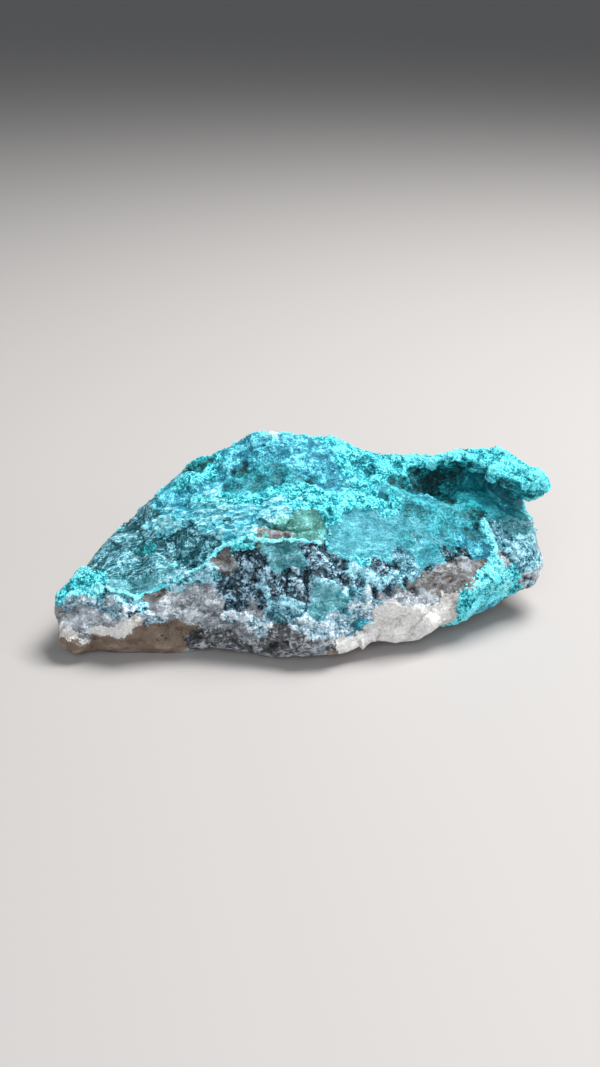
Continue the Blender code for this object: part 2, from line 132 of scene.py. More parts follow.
def make_soft_box(name, place, aim, size, power, colour):
    """A square area lamp at place, facing aim, both in millimetres."""
    data = bpy.data.lights.new(name, "AREA")
    data.shape = "SQUARE"
    data.size = size * MM
    data.energy = power
    data.color = colour
    lamp = bpy.data.objects.new(name, data)
    lamp.location = Vector(place) * MM
    lamp.rotation_mode = "QUATERNION"
    lamp.rotation_quaternion = (Vector(place) - Vector(aim)).to_track_quat("Z", "Y")
    bpy.context.scene.collection.objects.link(lamp)


def make_room(colour, strength):
    world = bpy.data.worlds.new("room")
    world.use_nodes = True
    background = world.node_tree.nodes["Background"]
    background.inputs["Color"].default_value = (*colour, 1)
    background.inputs["Strength"].default_value = strength
    bpy.context.scene.world = world


floor = make_floor()
make_soft_box("window_box", (150, 100, 380), (0, 0, 8), 220, 3.15, (1.0, 0.99, 0.97))
make_soft_box("front_box", (-60, -420, 240), (0, 0, 8), 320, 1.25, (0.94, 0.97, 1.0))
make_soft_box("side_box", (380, -180, 110), (20, 0, 8), 200, 0.45, (1.0, 1.0, 1.0))
make_room((0.80, 0.84, 0.88), 0.22)
bpy.context.scene.view_settings.view_transform = "Standard"

# %% [markdown]
# ## The skin
# The solid has facets of about a millimetre. The real surface breaks down to grains of a quarter of that, so a
# copy of the solid is given small even faces first. A voxel remesh does this for any closed shape; subdividing
# would keep the solid's long thin triangles. The copy's loose triangles are merged before that.

# %% Give a copy of the solid small even faces
SKIN_GRAIN = 0.21


def read(mesh, what):
    """Positions in millimetres ("co") or normals ("normal") of a mesh as an array."""
    flat = np.empty(len(mesh.vertices) * 3, np.float32)
    mesh.vertices.foreach_get(what, flat)
    return flat.reshape(-1, 3).astype(np.float64) / (MM if what == "co" else 1)


def write(mesh, points):
    mesh.vertices.foreach_set("co", (points * MM).astype(np.float32).ravel())
    mesh.update()


def settle(obj, name):
    """A plain mesh object of what the object's modifiers make, in its place."""
    graph = bpy.context.evaluated_depsgraph_get()
    mesh = bpy.data.meshes.new_from_object(obj.evaluated_get(graph))
    bpy.data.objects.remove(obj)
    made = bpy.data.objects.new(name, mesh)
    bpy.context.scene.collection.objects.link(made)
    return made


def fine_copy(source, grain):
    bm = bmesh.new()
    bm.from_mesh(source.data)
    bmesh.ops.remove_doubles(bm, verts=bm.verts, dist=0.005 * MM)
    mesh = bpy.data.meshes.new("skin")
    bm.to_mesh(mesh)
    bm.free()
    obj = bpy.data.objects.new("skin", mesh)
    bpy.context.scene.collection.objects.link(obj)
    remesh = obj.modifiers.new("even faces", "REMESH")
    remesh.mode = "VOXEL"
    remesh.voxel_size = grain * MM
    return settle(obj, "skin")


skin = fine_copy(solid, SKIN_GRAIN)
print("skin:", len(skin.data.vertices), "points")

# %% [markdown]
# ## Marking the minerals
# A collector marks a specimen up from its best side. So each mineral here is drawn as strokes on the front view,
# as points u, v of the camera's picture, and each point is dropped along its line of sight onto the stone. From
# then on a stroke is a line in space with a reach in millimetres, so the marking holds from every side.

# %% Drop a point of the front view onto the stone
ground = BVHTree.FromObject(skin, bpy.context.evaluated_depsgraph_get())


def on_stone(u, v):
    """Where the line of sight through u, v meets the stone, in millimetres, or None beside it."""
    hit = ground.ray_cast(CAMERA_AT * MM, sight_line(u, v))[0]
    return None if hit is None else np.array(hit) / MM


print("the peak is at", on_stone(268, 436).round(1))

# %% Draw the strokes of each mineral: reach in millimetres, then the points passed through
STROKES = {
    "crust": [
        (1.0, [(64, 592), (72, 588)]), (0.8, [(100, 574), (108, 580)]), (1.1, [(68, 584), (84, 580), (96, 582)]),
        (0.9, [(187, 499), (225, 497), (262, 499)]), (1.2, [(262, 492), (290, 492), (316, 498)]),
        (1.0, [(290, 503), (312, 506), (326, 500)]), (1.8, [(350, 460), (372, 472), (366, 490)]),
        (1.8, [(390, 466), (412, 460)]), (1.5, [(350, 500), (378, 504), (398, 500)]),
        (1.8, [(480, 456), (500, 452), (512, 462)]),
        (2.0, [(520, 462), (538, 474), (534, 484)]), (1.0, [(500, 462), (516, 474)]),
        (0.8, [(432, 459), (455, 456), (478, 456)]), 
        (1.0, [(508, 566), (514, 584)]), (0.9, [(470, 596), (462, 616)]), (0.9, [(506, 592), (490, 608)]),
        (0.3, [(338, 520), (350, 527)]), (0.3, [(370, 517), (380, 524)]), (0.25, [(390, 528), (399, 536)]),
        (0.5, [(238, 546), (247, 545)]), (0.8, [(205, 452), (219, 463), (210, 476)]),
        (0.9, [(330, 446), (345, 452), (352, 466)]), (0.8, [(172, 496), (186, 486), (200, 482)]),
        (0.7, [(494, 471), (506, 476)]),
        (0.6, [(484, 542), (489, 548)]),
    ],
    "vein": [
        (0.32, [(98, 584), (111, 590), (125, 592), (135, 598), (145, 594), (157, 589), (169, 584), (181, 578),
                (193, 571), (205, 565), (211, 558), (217, 550), (225, 546), (241, 540), (247, 536), (257, 540),
                (275, 541), (291, 540), (305, 541), (320, 543)]),
        (0.15, [(302, 500), (308, 512), (318, 530), (328, 544)]), (0.12, [(270, 516), (276, 508), (288, 504)]),
        (0.12, [(314, 504), (322, 516), (330, 534)]), (0.14, [(487, 508), (484, 518), (486, 532), (494, 552)]),
        (0.16, [(150, 516), (172, 508), (200, 502), (232, 500), (262, 501)]),
        (0.12, [(176, 524), (204, 512), (236, 508), (258, 510)]), (0.12, [(156, 530), (176, 520), (200, 516)]),
        # The wide blots at the lower right, from (488, 570) down to (470, 612), are partly the bright cyan there and
        # partly painted light on that shaded underside.
        (0.10, [(196, 531), (224, 524), (250, 526)]), (0.6, [(488, 570), (498, 580)]), (0.7, [(502, 592), (490, 600)]),
        (0.8, [(480, 598), (470, 612)]), (0.14, [(256, 540), (250, 530), (254, 518), (266, 512)]),
    ],
    "teal": [
        (1.6, [(160, 504), (176, 500), (196, 492)]), (1.6, [(225, 470), (236, 456), (248, 446)]),
        (1.4, [(300, 446), (318, 452), (330, 462)]), (1.4, [(300, 462), (322, 474), (334, 484)]),
        (0.7, [(240, 486), (250, 490)]), (0.7, [(436, 500), (443, 502)]),
        (1.4, [(464, 540), (478, 548)]), (1.4, [(476, 612), (492, 602)]),
        (0.9, [(362, 478), (376, 486)]), (0.8, [(352, 608), (360, 622)]),
        (1.6, [(258, 436), (274, 446), (290, 440)]), (1.8, [(262, 456), (286, 452)]),
        (1.2, [(226, 446), (236, 440)]),
    ],
    # Painted shade: near-black teal laid into the cave, under the knob's rim and into the small holes, where shade
    # falls.
    "painted_shade": [
        (0.6, [(500, 483), (510, 488), (522, 495)]),
        (1.3, [(414, 472), (432, 474), (450, 470)]), (1.2, [(424, 486), (440, 488), (452, 482)]),
        (0.7, [(462, 466), (478, 468)]), (0.8, [(398, 484), (404, 488)]),
        (0.4, [(381, 496), (384, 498)]), (0.5, [(440, 449), (462, 448), (486, 447)]), (0.35, [(268, 476), (282, 480), (296, 474)]),
        (0.5, [(302, 472), (314, 478)]), (0.6, [(156, 502), (162, 496)]), (0.6, [(202, 464), (212, 460)]),
        (0.8, [(140, 546), (152, 552)]), (0.35, [(244, 464), (234, 474)]),
        (1.6, [(450, 500), (464, 504), (476, 510)]), (1.0, [(466, 512), (474, 522)]),
    ],
    "silk": [
        (1.6, [(344, 530), (370, 526), (394, 528)]), (1.4, [(340, 546), (366, 546), (392, 546)]),
        (0.9, [(416, 553), (436, 556)]), (0.9, [(412, 526), (424, 534)]), (0.7, [(436, 540), (446, 548)]),
    ],
    # Smooth glass at the side of the cave, painted dark to stand in for the shade it lies in.
    "painted_shade_pool": [
        (1.4, [(466, 490), (478, 492), (488, 500)]), (0.9, [(470, 480), (484, 482)]), (0.8, [(478, 506), (492, 506)]),
        (1.1, [(462, 504), (466, 516), (470, 530)]), (0.8, [(462, 497), (472, 498)]),
    ],
    # Dark teal bands, partly real and partly painted shade: the strokes under the knob's rim and in the pit on the top
    # stand in for shade there.
    "deep_and_painted_shade": [
        (1.9, [(454, 506), (464, 520), (474, 536)]), (0.7, [(404, 534), (420, 542), (434, 546)]),
        (2.0, [(408, 501), (430, 503), (448, 506)]), (0.8, [(416, 530), (436, 534), (450, 544)]), (1.2, [(260, 478), (290, 484)]), (0.8, [(258, 468), (276, 465), (290, 470)]),
        (0.7, [(344, 600), (348, 612), (358, 626)]), (0.5, [(402, 516), (406, 530), (404, 544)]),
        (0.7, [(422, 516), (438, 520), (450, 530)]), (1.0, [(500, 516), (516, 518)]), (0.8, [(366, 480), (380, 486)]),
        (0.7, [(160, 498), (170, 494)]),
        (0.7, [(496, 488), (508, 494), (520, 501)]), (1.2, [(236, 488), (256, 489)]), (0.8, [(262, 489), (280, 489)]), (0.7, [(314, 474), (324, 477)]),
    ],
    "glass": [
        (1.6, [(106, 566), (124, 552), (142, 536)]), (1.8, [(116, 574), (140, 566), (160, 556)]),
        (1.4, [(176, 536), (192, 534)]), (1.8, [(184, 560), (200, 548), (206, 540)]),
        (1.6, [(96, 558), (116, 540), (138, 522), (152, 510)]),
        (0.7, [(231, 517), (240, 518)]),
    ],
    "streak": [
        (1.4, [(150, 524), (176, 514), (204, 508)]), (1.2, [(206, 524), (232, 530), (246, 528)]),
        (1.2, [(168, 524), (192, 520), (214, 516)]), (0.9, [(264, 504), (282, 500)]), (0.8, [(204, 491), (218, 491)]),
        (0.8, [(186, 524), (204, 528)]),
        (1.1, [(230, 511), (252, 514)]), (0.8, [(262, 515), (282, 509)]), (0.9, [(508, 530), (520, 534)]),
        (1.0, [(203, 543), (209, 547)]), (1.0, [(172, 530), (184, 530)]),
    ],
    "quartz": [
        (0.7, [(100, 600), (120, 602), (140, 607)]), (1.0, [(176, 580), (196, 574), (208, 570)]),
        (1.0, [(254, 582), (264, 588)]),
        (1.4, [(276, 606), (296, 606)]), (2.2, [(504, 536), (518, 548), (526, 558)]),
        (1.2, [(358, 572), (380, 580), (396, 576)]), (1.0, [(404, 560), (416, 572)]), (1.0, [(348, 594), (368, 600)]),
        (0.8, [(266, 438), (280, 446)]), (0.8, [(222, 438), (236, 452)]),
    ],
    "dark": [
        (0.5, [(218, 568), (225, 580)]), (1.0, [(239, 576), (243, 602)]), (1.0, [(252, 574), (258, 602)]),
        (0.8, [(292, 572), (304, 580)]), (0.35, [(232, 572), (244, 574)]),
        (0.7, [(316, 548), (319, 562)]), (0.5, [(322, 572), (326, 580)]), (0.7, [(342, 564), (348, 580)]),
        (0.7, [(370, 562), (380, 568)]), (0.5, [(444, 548), (456, 554), (468, 556)]), (0.7, [(506, 552), (512, 558)]),
        (0.6, [(132, 616), (136, 620)]), (0.5, [(388, 580), (394, 588)]), (0.4, [(518, 580), (526, 582)]),
        (0.6, [(282, 588), (296, 590)]), (0.6, [(350, 582), (356, 590)]), (0.25, [(394, 566), (402, 584), (416, 590)]),
        (0.4, [(352, 584), (362, 576)]), (0.3, [(398, 574), (408, 584)]), (0.35, [(374, 590), (384, 598)]),
        (0.7, [(229, 584), (233, 600)]),
        (0.2, [(430, 564), (433, 578)]), (0.25, [(456, 570), (470, 558)]),
        (1.0, [(246, 558), (262, 560), (266, 574)]), (0.9, [(272, 586), (284, 590), (304, 590)]), (0.9, [(286, 600), (294, 602)]),
        (1.4, [(317, 552), (320, 576)]), (0.9, [(368, 571), (384, 576)]), (0.5, [(440, 558), (450, 560)]),
        (0.8, [(512, 543), (518, 548)]), (0.6, [(220, 582), (223, 592)]),
    ],
    "sugar": [
        (0.8, [(70, 604), (84, 601), (98, 606), (124, 611), (129, 613)]), (0.3, [(86, 627), (100, 625), (114, 622)]),
        (1.0, [(228, 616), (244, 620), (256, 628)]),
        (0.7, [(258, 624), (267, 628)]), (1.1, [(298, 629), (310, 630)]), (0.9, [(368, 600), (382, 602)]), (1.4, [(312, 628), (330, 630), (346, 628)]), (1.0, [(356, 606), (370, 614)]),
        (0.7, [(298, 566), (300, 582)]), (0.7, [(150, 616), (160, 618)]), (0.8, [(276, 434), (286, 438)]),
        (0.7, [(118, 614), (128, 617)]), (0.7, [(330, 614), (337, 617)]), (0.7, [(343, 600), (350, 603)]),
    ],
    "cream": [
        (0.7, [(64, 628), (72, 634)]), (0.55, [(82, 632), (104, 630), (124, 624), (140, 620)]),
        (2.0, [(388, 616), (412, 620), (436, 614)]), (1.6, [(378, 630), (402, 634), (430, 630)]),
        (1.4, [(450, 604), (446, 620)]), (1.2, [(346, 648), (362, 642), (374, 640)]),
    ],
    "pale": [
        (1.6, [(170, 606), (190, 600), (210, 598)]), (1.2, [(176, 616), (196, 616), (212, 612)]),
        (0.8, [(74, 617), (94, 615), (116, 617)]), (0.8, [(70, 626), (96, 624), (118, 620)]), (0.9, [(544, 548), (544, 566)]), (0.7, [(524, 578), (534, 572)]), (0.7, [(498, 554), (504, 562)]),
        (0.9, [(388, 598), (404, 598)]), (1.0, [(228, 632), (250, 636)]),
        (0.3, [(247, 584), (250, 604)]), (1.0, [(300, 652), (318, 650)]),
        (0.5, [(134, 614), (142, 617)]), (0.6, [(246, 612), (252, 618)]),
        (0.8, [(426, 600), (438, 602)]), (0.6, [(104, 600), (114, 602)]),
    ],
    "iron": [
        (0.6, [(155, 598), (160, 604)]), (1.0, [(222, 562), (234, 568)]), (1.2, [(424, 578), (446, 574)]),
        (1.2, [(456, 570), (474, 564)]), (0.7, [(412, 588), (434, 592)]),
        (0.5, [(55, 604), (56, 618)]),
        (0.35, [(260, 529), (262, 532)]), (0.4, [(271, 532), (276, 534)]), (0.35, [(288, 530), (291, 533)]),
        (0.9, [(452, 584), (464, 586)]), (0.9, [(160, 599), (169, 603)]),
    ],
    "tan": [
        (1.6, [(100, 650), (124, 650), (148, 646)]), (1.4, [(120, 656), (150, 652), (174, 644)]),
        (1.0, [(74, 654), (84, 652)]), (1.2, [(170, 634), (186, 634)]), (0.8, [(145, 628), (158, 630)]),
        (0.8, [(340, 654), (350, 652)]),
    ],
    "mottle": [
        (1.4, [(196, 640), (214, 642)]), (1.6, [(232, 644), (262, 650)]), (1.6, [(280, 650), (306, 646)]),
        (1.0, [(276, 640), (292, 636)]), (0.8, [(164, 646), (168, 640)]), (1.0, [(330, 646), (336, 650)]),
        (0.9, [(274, 630), (286, 632)]),
    ],
    "moss": [
        (0.6, [(268, 526), (274, 523)]), (1.2, [(286, 522), (300, 516), (312, 524)]), (0.8, [(300, 532), (314, 534)]),
        (0.3, [(266, 530), (266, 535)]), (0.3, [(281, 530), (283, 536)]),
    ],
    "powder": [
        (0.9, [(62, 580), (80, 573), (96, 574)]), (0.6, [(76, 590), (92, 590)]), (0.6, [(488, 526), (490, 538), (494, 550)]),
        (1.4, [(494, 556), (498, 574), (506, 590)]), (1.0, [(482, 568), (486, 582)]), (1.6, [(488, 590), (478, 602), (466, 618)]),
        (0.5, [(352, 556), (362, 562)]), (0.4, [(170, 560), (173, 565)]), (0.8, [(300, 500), (320, 498)]),
        (0.6, [(200, 499), (240, 498)]),
    ],
    "jade": [
        (1.2, [(318, 580), (324, 598), (320, 616)]), (1.0, [(334, 588), (336, 606)]), (1.2, [(118, 582), (146, 582)]),
        (0.6, [(416, 536), (430, 536)]), (1.0, [(500, 524), (520, 530)]),
        (0.8, [(158, 574), (182, 566)]), (1.5, [(280, 556), (300, 556)]), (1.0, [(508, 538), (520, 548)]),
        (0.7, [(262, 524), (270, 520)]),
    ],
}
MINERALS = list(STROKES)


def sample_line(points, spacing=0.4):
    """Points at an even spacing along a line through the given ones."""
    made = [points[:1]]
    for a, b in zip(points, points[1:]):
        count = max(1, round(np.linalg.norm(b - a) / spacing))
        made.append(a + (b - a) * np.arange(1, count + 1)[:, None] / count)
    return np.concatenate(made)


def place_strokes():
    """For each mineral, the reach and the points in space of each of its strokes."""
    placed = {}
    for mineral, strokes in STROKES.items():
        placed[mineral] = []
        for reach, line in strokes:
            hits = [hit for hit in (on_stone(u, v) for u, v in line) if hit is not None]
            if hits:
                placed[mineral].append((reach, sample_line(np.array(hits))))
    return placed


strokes_in_space = place_strokes()
print("strokes:", {mineral: len(lines) for mineral, lines in strokes_in_space.items()})

# %% [markdown]
# ## Territories
# Every point of the skin belongs to the stroke whose edge is nearest, so the minerals meet without gaps. The
# places are shaken by noise first, which makes the borders ragged as grown and broken borders are. Where no
# stroke reaches, on the back, the ends and below, the minerals lie in layers as in the rest of the stone: clay
# and feldspar at the foot, quartz above it, then glassy layers and the blue crust on the crest.

# %% Share the skin out between the minerals
def shaken(points, size, amount, seed):
    """The points moved about by smooth noise of that size and amount, in millimetres."""
    shift = Vector((seed * 7.1, seed * 3.7, seed * 5.3))
    return points + amount * np.array([noise.noise_vector(Vector(p) / size + shift) for p in points])


def noise_at(points, size, seed, detail=2):
    shift = Vector((seed * 4.3, seed * 8.9, seed * 2.1))
    return np.array([noise.fractal(Vector(p) / size + shift, 1.0, 2.0, detail) for p in points])


def gap_to(points, lines):
    """How far each point is outside the nearest of the strokes, in millimetres."""
    best = np.full(len(points), np.inf)
    squares = (points ** 2).sum(axis=1)[:, None]
    for reach, line in lines:
        gap = (squares + (line ** 2).sum(axis=1) - 2 * points @ line.T).min(axis=1)
        best = np.minimum(best, np.sqrt(np.maximum(gap, 0)) - reach)
    return best


# Layers of the unmarked parts: mineral, from height, to height in millimetres, and how willingly it shows.
LAYERS = [
    ("tan", -9.0, 3.6, 0.3), ("mottle", 0.5, 6.0, 0.0), ("cream", 3.0, 8.0, -0.9), ("quartz", 4.0, 13.0, 0.0),
    ("pale", 5.0, 12.0, -0.6), ("sugar", 6.0, 14.0, -0.8), ("glass", 9.0, 17.0, 0.0), ("teal", 12.0, 24.0, 0.4),
    ("crust", 13.0, 40.0, 0.6), ("streak", 12.0, 22.0, -0.2), ("iron", 5.0, 16.0, -1.2),
]
UNMARKED = 3.2
MINGLE = 0.7
BLEND = 0.22
VEIN_PULL = 14


def territories(points):
    """The share of each mineral at each point, as an array with a column for each of MINERALS."""
    place = shaken(shaken(points, 3.0, 1.1, 1), 0.9, 0.35, 2)
    gaps = np.stack([gap_to(place, strokes_in_space[mineral]) for mineral in MINERALS], axis=1)
    vein = MINERALS.index("vein")
    gaps[:, vein] = VEIN_PULL * gap_to(shaken(points, 0.9, 0.2, 2), strokes_in_space["vein"])
    for k, (mineral, low, high, will) in enumerate(LAYERS):
        height = place[:, 2] + 2.5 * noise_at(points, 9.0, 11)
        inside = np.minimum(height - low, high - height) * 0.4
        patch = noise_at(points, 5.0, 20 + k) * 2.2 + will
        layer_gap = UNMARKED - np.minimum(inside, 0.6) - patch
        column = MINERALS.index(mineral)
        gaps[:, column] = np.minimum(gaps[:, column], layer_gap)
    for column, mineral in enumerate(MINERALS):
        if mineral != "vein":
            gaps[:, column] += MINGLE * noise_at(points, 2.2, 60 + column, 3)
    share = np.exp(-(gaps - gaps.min(axis=1)[:, None]) / BLEND)
    return share / share.sum(axis=1)[:, None]


points = read(skin.data, "co")
shares = territories(points)
print("area of each, %:", dict(zip(MINERALS, (100 * shares.mean(axis=0)).round(1).tolist())))

# %% [markdown]
# ## The broken skin
# Each mineral breaks in its own way: quartz in small tilted facets, feldspar in blocks, the crust grows as beads
# and bubbles, and the silky layers split along their length. One Displace modifier could only push the whole
# skin by one texture. So the heights of a few kinds of break are worked out for every point, and each mineral
# takes its own amount of each.

# %% Work out the kinds of break
STRATA_TURN = Matrix.Rotation(math.radians(-14), 3, "Y") @ Matrix.Rotation(math.radians(-12), 3, "Z")


def seats(points, size, seed):
    """For each cell near the points in turn: the place of the points from its seat, and its table index."""
    places = points / np.array(size)
    jitter = np.random.default_rng(seed).random((32, 32, 32, 3))
    home = np.floor(places).astype(int)
    for step in itertools.product((-1, 0, 1), repeat=3):
        cell = home + step
        index = tuple((cell % 32).T)
        yield places - cell - jitter[index], index


def splinters(points, size, seed):
    """Heights of long hollows that meet in sharp ridges, about -1 to 1."""
    low = np.min([(away ** 2).sum(axis=1) for away, index in seats(points, size, seed)], axis=0)
    return (low - low.mean()) * 3


def bubbles(points, size, seed):
    """Heights of round bubbles, 0 between them to 1 on top."""
    gap = np.min([(away ** 2).sum(axis=1) for away, index in seats(points, size, seed)], axis=0)
    return np.sqrt(np.clip(1 - gap / 0.42, 0, 1))


def faces_of(size, lift, seed):
    """How far each point of the skin is outside a coarse copy of it whose corners were moved at random."""
    coarse = fine_copy(solid, size)
    chance = np.random.default_rng(seed)
    corners = read(coarse.data, "co")
    corners += chance.uniform(-0.42, 0.42, corners.shape) * size
    corners += read(coarse.data, "normal") * chance.uniform(-1, 1, (len(corners), 1)) * lift
    plates = []
    for face in coarse.data.polygons:
        a, b, c, d = (list(face.vertices) * 2)[face.index % 2:][:4]
        plates += [(a, b, c), (a, c, d)]
    tree = BVHTree.FromPolygons(corners.tolist(), plates)
    bpy.data.objects.remove(coarse)
    nearest = np.array([tree.find_nearest(point)[0] for point in points])
    return ((nearest - points) * read(skin.data, "normal")).sum(axis=1)


BREAKS = {
    "sunk": lambda p: -np.ones(len(p)),
    "chips": lambda p: faces_of(0.8, 0.3, 31),
    "facets": lambda p: faces_of(1.5, 0.55, 32),
    "blocks": lambda p: faces_of(3.0, 0.8, 33),
    "strata": lambda p: splinters(p @ np.array(STRATA_TURN).T, (4.2, 0.8, 0.8), 34),
    "beads": lambda p: bubbles(p, (0.55, 0.55, 0.55), 35),
    "bubbles": lambda p: bubbles(p, (1.15, 1.15, 1.15), 36),
    "waves": lambda p: noise_at(p, 1.6, 37, 3),
    "grit": lambda p: noise_at(p, 0.45, 38, 3),
}
# How much of each break a mineral has, in millimetres.
RELIEF = {
    "crust": dict(chips=0.45, facets=0.25, beads=0.10, bubbles=0.08, waves=0.18, grit=0.16),
    "powder": dict(chips=0.35, facets=0.2, beads=0.12, waves=0.14, grit=0.16),
    "vein": dict(sunk=-0.12, beads=0.12, waves=0.08, grit=0.10),
    "teal": dict(chips=0.5, facets=0.55, waves=0.08, grit=0.10),
    "painted_shade": dict(sunk=0.3, chips=0.5, facets=0.4, waves=0.14, grit=0.10),
    "silk": dict(blocks=0.25, strata=0.04, grit=0.04),
    "painted_shade_pool": dict(sunk=0.1, waves=0.02),
    "deep_and_painted_shade": dict(chips=0.4, facets=0.4, strata=0.05, waves=0.08, grit=0.05),
    "glass": dict(chips=0.2, facets=0.2, blocks=0.7, grit=0.04),
    "streak": dict(chips=0.2, blocks=0.3, strata=0.22, waves=0.04, grit=0.06),
    "quartz": dict(chips=0.45, facets=0.45, blocks=0.4, grit=0.01),
    "dark": dict(sunk=0.35, chips=0.6, facets=0.75, grit=0.04),
    "sugar": dict(chips=0.7, facets=0.45, grit=0.05),
    "cream": dict(chips=0.03, facets=0.1, blocks=0.6, grit=0.01),
    "pale": dict(chips=0.25, facets=0.4, blocks=0.5, grit=0.01),
    "iron": dict(chips=0.15, facets=0.25, blocks=0.4, grit=0.03),
    "tan": dict(blocks=0.3, waves=0.08, grit=0.03),
    "mottle": dict(chips=0.6, facets=0.8, waves=0.05, grit=0.05),
    "moss": dict(chips=0.1, facets=0.3, blocks=0.6, grit=0.02),
    "jade": dict(chips=0.15, facets=0.15, blocks=0.35, grit=0.03),
}


def relief(points, share):
    """The height to raise each point by, in millimetres."""
    height = np.zeros(len(points))
    for kind, heights in BREAKS.items():
        amount = share @ np.array([RELIEF[mineral].get(kind, 0.0) for mineral in MINERALS])
        height += amount * heights(points)
    return height


rise = relief(points, shares)
print("relief from", rise.min().round(2), "to", rise.max().round(2), "mm")

# %% Break the skin
SKIN_TRIANGLES = 190000
SETTLED_HEIGHT = 0.8
SHARP_ANGLE = 34
UNDERCUT_HEIGHT = 1.6
UNDERCUT = np.array((0.035, 0.075))


def within_box(places):
    """The places, in millimetres, with any outside the solid's box moved onto it."""
    return np.clip(places, np.array(cad_low) / MM, np.array(cad_high) / MM)


def undercut(places):
    """Draws the foot in a little towards the sole, so the stone meets the floor in a shaded line."""
    low = np.clip(1 - places[:, 2] / UNDERCUT_HEIGHT, 0, 1)[:, None] ** 1.5
    centre = (places[:, :2].min(axis=0) + places[:, :2].max(axis=0)) / 2
    places[:, :2] = centre + (places[:, :2] - centre) * (1 - low * UNDERCUT)
    return places


def break_skin():
    """Raises the skin, keeps it inside the solid's box and flat on the floor, and thins out what stayed flat."""
    standing = np.clip(points[:, 2] / SETTLED_HEIGHT, 0, 1)
    raised = undercut(points + read(skin.data, "normal") * (rise * standing)[:, None])
    write(skin.data, within_box(raised))
    thin = skin.modifiers.new("thin out", "DECIMATE")
    thin.ratio = SKIN_TRIANGLES / sum(len(face.vertices) - 2 for face in skin.data.polygons)
    thin.use_collapse_triangulate = True
    made = settle(skin, "broken_skin")
    write(made.data, within_box(read(made.data, "co")))
    made.data.shade_smooth()
    made.data.set_sharp_from_angle(angle=math.radians(SHARP_ANGLE))
    return made


skin = break_skin()
points = read(skin.data, "co")
shares = territories(points)
print("broken skin:", len(skin.data.polygons), "triangles")

# %% [markdown]
# ## Hollows and edges
# Shade is painted into the hollows and light onto the edges: how far a point stands above the mean of its
# neighbours tells the two apart. Cycles has a Pointiness output for this, but a value kept on the points
# themselves reads the same in every renderer and in the exported model.

# %% Measure how far each point stands out
def neighbour_mean(values, edges, count):
    total = np.zeros_like(values)
    np.add.at(total, edges[:, 0], values[edges[:, 1]])
    np.add.at(total, edges[:, 1], values[edges[:, 0]])
    return total / count[:, None]


def stand_out(mesh, rounds):
    """Height above the smoothed skin in millimetres, for a smoothing of that many rounds."""
    edges = np.empty(len(mesh.edges) * 2, np.int32)
    mesh.edges.foreach_get("vertices", edges)
    edges = edges.reshape(-1, 2)
    count = np.bincount(edges.ravel(), minlength=len(mesh.vertices))
    start = read(mesh, "co")
    smooth = start
    for _ in range(rounds):
        smooth = neighbour_mean(smooth, edges, count)
    return ((start - smooth) * read(mesh, "normal")).sum(axis=1)


def keep(mesh, name, values):
    """Stores a value for each point of the mesh under a name that materials can read."""
    attribute = mesh.attributes.new(name, "FLOAT", "POINT")
    attribute.data.foreach_set("value", values.astype(np.float32))


for mineral, share in zip(MINERALS, shares.T):
    keep(skin.data, mineral, share)
# Painted light and shade: edge lightens the raised points and hollow darkens the hollows in every finish.
keep(skin.data, "edge", np.clip(0.5 + stand_out(skin.data, 8) / 0.3, 0, 1))
keep(skin.data, "hollow", np.clip(0.5 - stand_out(skin.data, 30) / 0.7, 0, 1))
print("kept on the skin:", [a.name for a in skin.data.attributes if a.data_type == "FLOAT"])

# %% [markdown]
# ## Helpers for node trees
# Both the small crystals and the finish are made by node trees. Built by hand, a tree is dragged and wired; in a
# script a few helpers keep each node to one line.

# %% Helpers for building node trees
def add(tree, kind, inputs=(), **settings):
    """A new node with its settings made and its inputs, by name or number, set or linked."""
    node = tree.nodes.new(kind)
    for name, value in settings.items():
        setattr(node, name, value)
    for name, value in dict(inputs).items():
        if isinstance(value, bpy.types.NodeSocket):
            tree.links.new(value, node.inputs[name])
        else:
            node.inputs[name].default_value = value
    return node


def calc(tree, operation, *values):
    """The result of a Math node on up to three values or sockets."""
    return add(tree, "ShaderNodeMath", enumerate(values), operation=operation).outputs[0]


def clamp_map(tree, value, low, high, to_low=0.0, to_high=1.0):
    """The value mapped from low..high to to_low..to_high with soft ends."""
    inputs = {"Value": value, "From Min": low, "From Max": high, "To Min": to_low, "To Max": to_high}
    return add(tree, "ShaderNodeMapRange", inputs, interpolation_type="SMOOTHSTEP").outputs["Result"]


def blend(tree, factor, under, over):
    """Two colours mixed by a factor."""
    node = add(tree, "ShaderNodeMix", data_type="RGBA")
    for socket, value in zip((node.inputs[0], node.inputs[6], node.inputs[7]), (factor, under, over)):
        if isinstance(value, bpy.types.NodeSocket):
            tree.links.new(value, socket)
        else:
            socket.default_value = value
    return node.outputs[2]


def new_group(name, inputs, outputs):
    """An empty shader node group with its sockets, and its two end nodes."""
    tree = bpy.data.node_groups.new(name, "ShaderNodeTree")
    kinds = {"value": "NodeSocketFloat", "colour": "NodeSocketColor", "place": "NodeSocketVector"}
    for label, kind in inputs.items():
        tree.interface.new_socket(label, in_out="INPUT", socket_type=kinds[kind])
    for label, kind in outputs.items():
        tree.interface.new_socket(label, in_out="OUTPUT", socket_type=kinds[kind])
    return tree, tree.nodes.new("NodeGroupInput").outputs, tree.nodes.new("NodeGroupOutput").inputs


# %% [markdown]
# ## Crystal points and crust beads
# Broken quartz is full of small six-sided points, and the blue crust grew as beads. Each could be modelled and
# copied by hand, but they repeat by the thousand, so one Geometry Nodes tree scatters a small shape over the
# skin, thickest where its mineral is and leaning a little away from upright.

# %% Build the scatter tree
def tree_input(tree, label, kind, value=None):
    socket = tree.interface.new_socket(label, in_out="INPUT", socket_type=kind)
    if value is not None:
        socket.default_value = value


